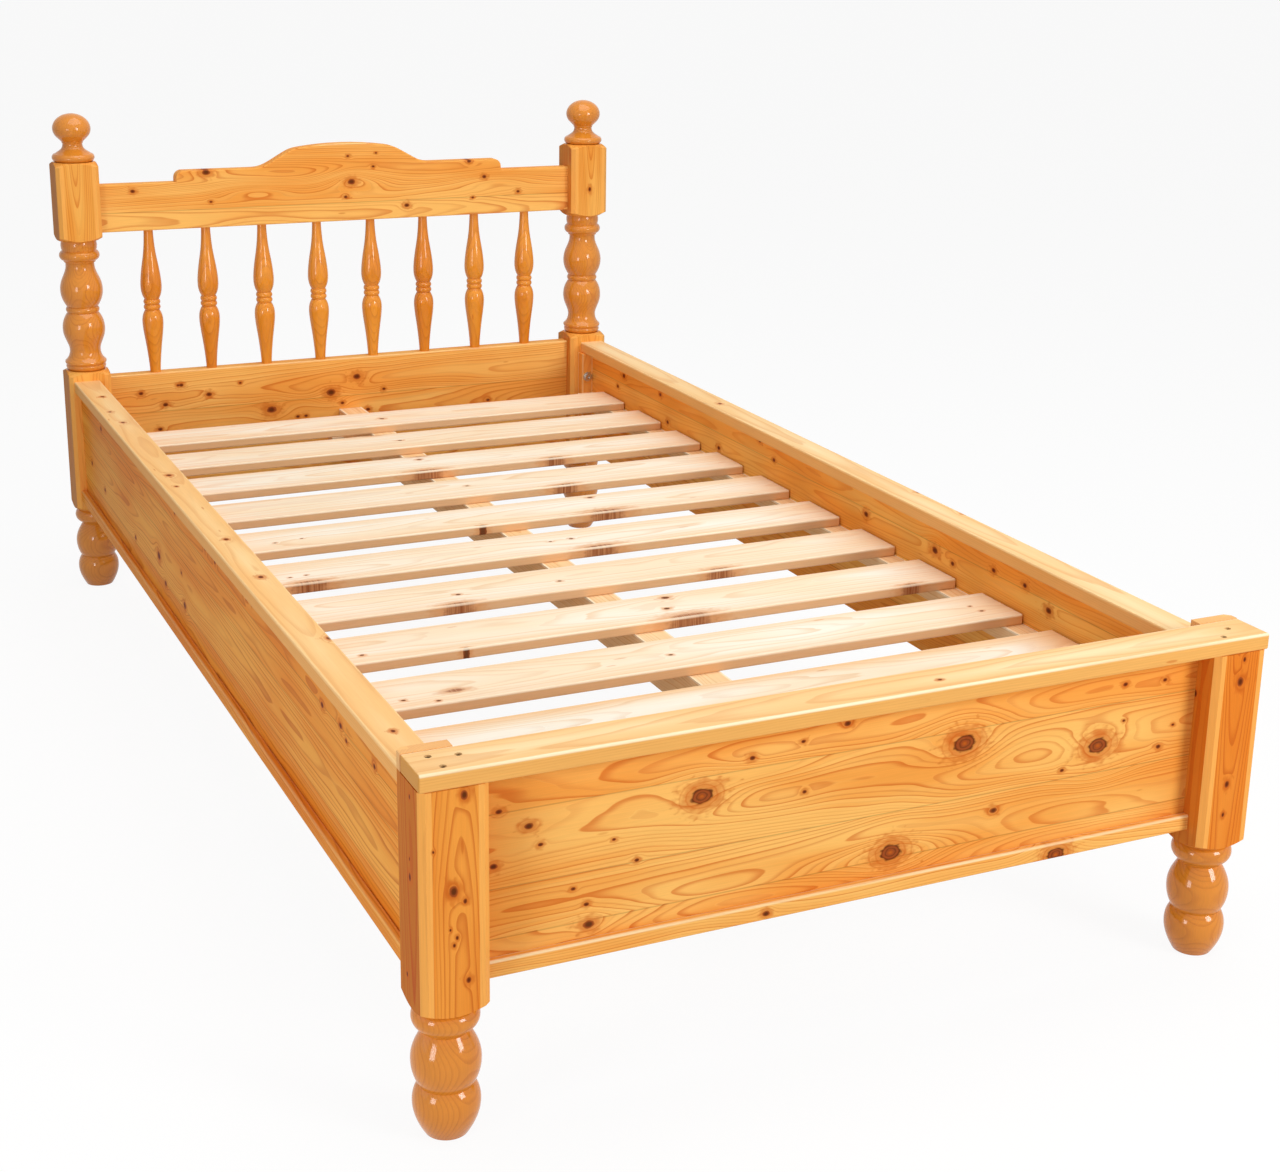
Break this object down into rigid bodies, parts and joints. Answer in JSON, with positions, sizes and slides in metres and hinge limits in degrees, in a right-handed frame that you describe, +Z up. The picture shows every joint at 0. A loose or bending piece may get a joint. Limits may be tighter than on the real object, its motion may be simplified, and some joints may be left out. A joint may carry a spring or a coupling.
{
  "type": "spindle bed",
  "caption": "Single pine bed frame with turned posts and feet, ball finials, a spindle headboard under a crowned top rail, a low panelled foot and open cross slats.",
  "frame": {"origin": "on the floor, under the middle of the bed's bounding box", "axes": "+X across the bed to its right when looking from the foot to the head, +Y along the bed from foot to head, +Z up"},
  "size_m": [1.06, 2.0164, 0.872],
  "materials": {
    "lacquered_pine": "clear honey lacquer, satin to gloss, with knots and grain",
    "pale_pine": "planed, unfinished",
    "peg_wood": "plain hardwood dowel",
    "bright_steel": "zinc plated",
    "dark_steel": "dark, matt"
  },
  "bodies": {
    "root": {"head_post_left": "lacquered_pine", "head_post_right": "lacquered_pine", "foot_post_left": "lacquered_pine", "foot_post_right": "lacquered_pine", "headboard_top_rail": "lacquered_pine", "headboard_panel": "lacquered_pine", "foot_panel": "lacquered_pine", "foot_cap": "lacquered_pine", "foot_ledge": "lacquered_pine", "side_rail_left_panel": "lacquered_pine", "side_rail_right_panel": "lacquered_pine", "side_rail_left_cap": "lacquered_pine", "side_rail_right_cap": "lacquered_pine", "side_rail_left_ledge": "lacquered_pine", "side_rail_right_ledge": "lacquered_pine", "corner_cleat_foot_left": "lacquered_pine", "corner_cleat_foot_right": "lacquered_pine", "corner_cleat_head_left": "lacquered_pine", "corner_cleat_head_right": "lacquered_pine", "spindle_1": "lacquered_pine", "spindle_2": "lacquered_pine", "spindle_3": "lacquered_pine", "spindle_4": "lacquered_pine", "spindle_5": "lacquered_pine", "spindle_6": "lacquered_pine", "spindle_7": "lacquered_pine", "spindle_8": "lacquered_pine", "slat_ledger_left": "pale_pine", "slat_ledger_right": "pale_pine", "centre_rail": "pale_pine", "centre_rail_bearer_foot": "pale_pine", "centre_rail_bearer_head": "pale_pine", "slat_01": "pale_pine", "slat_02": "pale_pine", "slat_03": "pale_pine", "slat_04": "pale_pine", "slat_05": "pale_pine", "slat_06": "pale_pine", "slat_07": "pale_pine", "slat_08": "pale_pine", "slat_09": "pale_pine", "slat_10": "pale_pine", "slat_11": "pale_pine", "slat_pegs": "peg_wood", "centre_rail_pins": "peg_wood", "corner_bolts": "bright_steel", "corner_washers": "bright_steel", "corner_inserts": "bright_steel", "ledger_screws": "bright_steel", "bearer_screws": "bright_steel", "foot_cap_screws": "dark_steel"}
  },
  "joints": []
}
